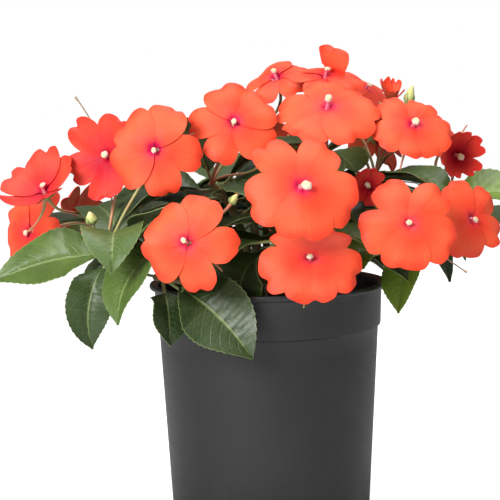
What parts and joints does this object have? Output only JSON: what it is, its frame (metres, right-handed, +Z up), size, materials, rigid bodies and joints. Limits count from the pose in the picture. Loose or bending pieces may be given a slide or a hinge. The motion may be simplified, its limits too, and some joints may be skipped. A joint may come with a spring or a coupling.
{
  "type": "potted flowering plant",
  "caption": "New Guinea impatiens with coral-orange blooms and toothed green leaves, growing in a round black nursery pot.",
  "frame": {"origin": "centre of the pot's flat underside, on the surface that it stands on", "axes": "+Z up along the pot's axis, -Y towards the plant's front, +X to the right of the front"},
  "size_m": [0.3673, 0.3123, 0.3389],
  "materials": {
    "pot_plastic": "satin",
    "potting_soil": "matte",
    "petals": "satin",
    "foliage": "satin"
  },
  "bodies": {
    "root": {"pot": "pot_plastic", "soil": "potting_soil", "bloom_01": "petals", "bloom_02": "petals", "bloom_03": "petals", "bloom_04": "petals", "bloom_05": "petals", "bloom_06": "petals", "bloom_07": "petals", "bloom_08": "petals", "bloom_09": "petals", "bloom_10": "petals", "bloom_11": "petals", "bloom_12": "petals", "bloom_13": "petals", "bloom_14": "petals", "bloom_15": "petals", "bloom_16": "petals", "bloom_17": "petals", "bloom_18": "petals", "bloom_19": "petals", "bloom_20": "petals", "bloom_21": "petals", "bloom_22": "petals", "bloom_23": "petals", "bloom_24": "petals", "bloom_25": "petals", "bloom_26": "petals", "bloom_27": "petals", "bloom_28": "petals", "stem_left_front": "foliage", "stem_left": "foliage", "stem_front_left": "foliage", "stem_rim_left": "foliage", "stem_front": "foliage", "stem_front_right": "foliage", "stem_right": "foliage", "stem_top_left": "foliage", "stem_top": "foliage", "stem_top_right": "foliage", "stem_back_left": "foliage", "stem_back": "foliage", "stem_back_right": "foliage", "stem_top_back": "foliage"}
  },
  "joints": []
}
